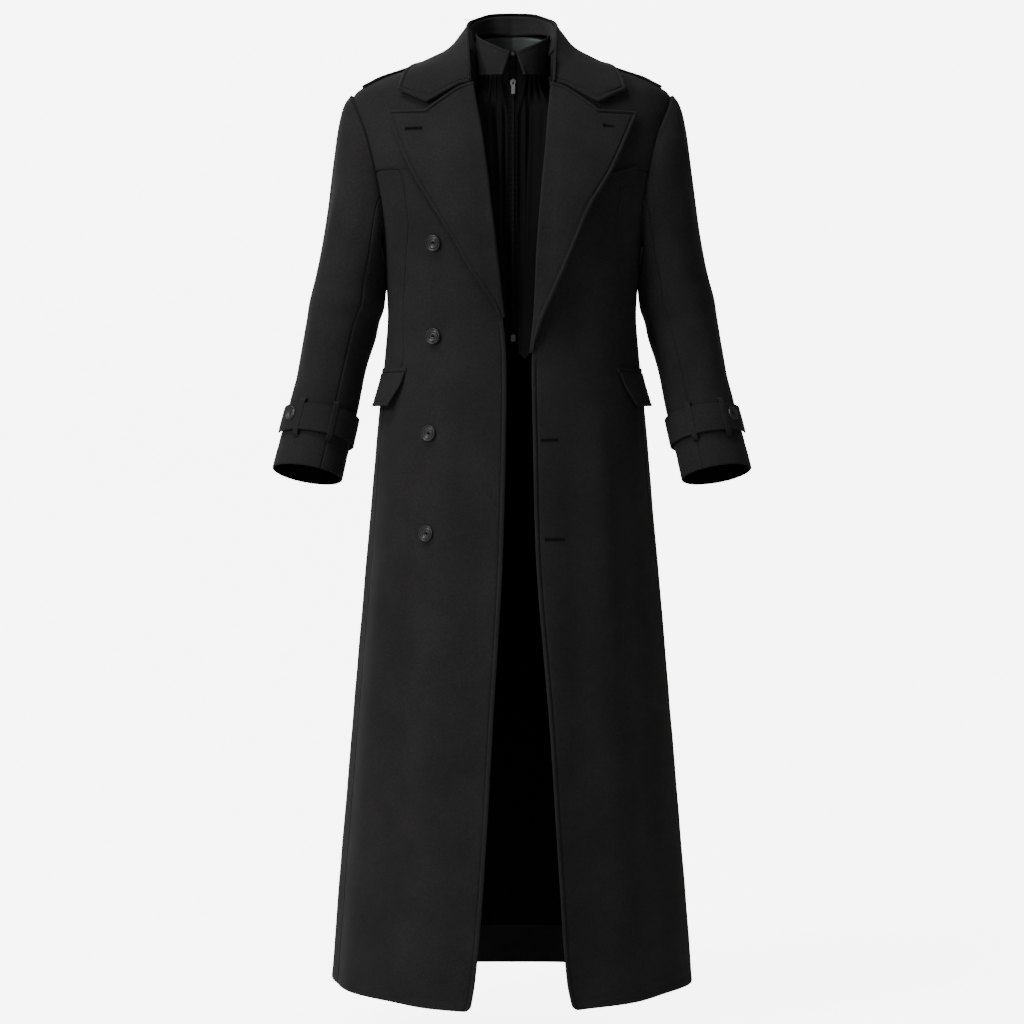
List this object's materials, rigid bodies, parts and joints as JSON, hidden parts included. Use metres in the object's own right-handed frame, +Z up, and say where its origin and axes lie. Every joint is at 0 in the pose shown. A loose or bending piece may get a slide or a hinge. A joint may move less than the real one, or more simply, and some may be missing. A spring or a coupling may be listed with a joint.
{
  "type": "long double-breasted overcoat",
  "caption": "Full-length double-breasted overcoat, open at the front, with wide peak lapels, shoulder and cuff straps, flap pockets and an inner zip bib",
  "frame": {"origin": "where the wearer's shoulders hold the coat: the middle of the neck opening at the height of the side neck points", "axes": "+Z up, the front faces -Y, the wearer's left is +X"},
  "size_m": [0.688, 0.3436, 1.4105],
  "materials": {
    "wool": "black melton wool, brushed nap",
    "satin": "black satin lining",
    "neck_cloth": "dark grey-green twill",
    "button": "turned black-grey resin",
    "zip_tape": "woven polyester tape",
    "zip_metal": "polished nickel plate"
  },
  "bodies": {
    "coat": {"front_right": "wool", "front_left": "wool", "side_right": "wool", "side_left": "wool", "back_right": "wool", "back_left": "wool", "lapel_right": "wool", "lapel_left": "wool", "sleeve_top_right": "wool", "sleeve_top_left": "wool", "sleeve_under_right": "wool", "sleeve_under_left": "wool", "shoulder_strap_right": "wool", "shoulder_strap_left": "wool", "cuff_strap_right": "wool", "cuff_strap_left": "wool", "pocket_welt_right": "wool", "pocket_welt_left": "wool", "pocket_flap_right": "wool", "pocket_flap_left": "wool", "bib_collar_right": "wool", "bib_collar_left": "wool", "keeper_right_1": "wool", "keeper_right_2": "wool", "keeper_left_1": "wool", "keeper_left_2": "wool", "collar_leaf": "wool", "collar_stand": "wool", "chest_welt": "wool", "back_lining_right": "satin", "bib_panel_right": "satin", "neck_lining_right": "neck_cloth", "zip_tape_right": "zip_tape", "cuff_button_right": "button", "back_lining_left": "satin", "bib_panel_left": "satin", "neck_lining_left": "neck_cloth", "zip_tape_left": "zip_tape", "cuff_button_left": "button", "front_button_1": "button", "front_button_2": "button", "front_button_3": "button", "front_button_4": "button", "zip_slider": "zip_metal", "zip_bridge": "zip_metal", "zip_box": "zip_metal", "collar_hook": "zip_metal"},
    "zip_pull": {"zip_pull": "zip_metal"}
  },
  "joints": [
    {"name": "pull_swing", "type": "hinge", "parent": "coat", "child": "zip_pull", "pos_m": [0.0015, -0.06488, -0.05919], "axis": [-1, 0, 0], "range_deg": [0, 115]}
  ]
}
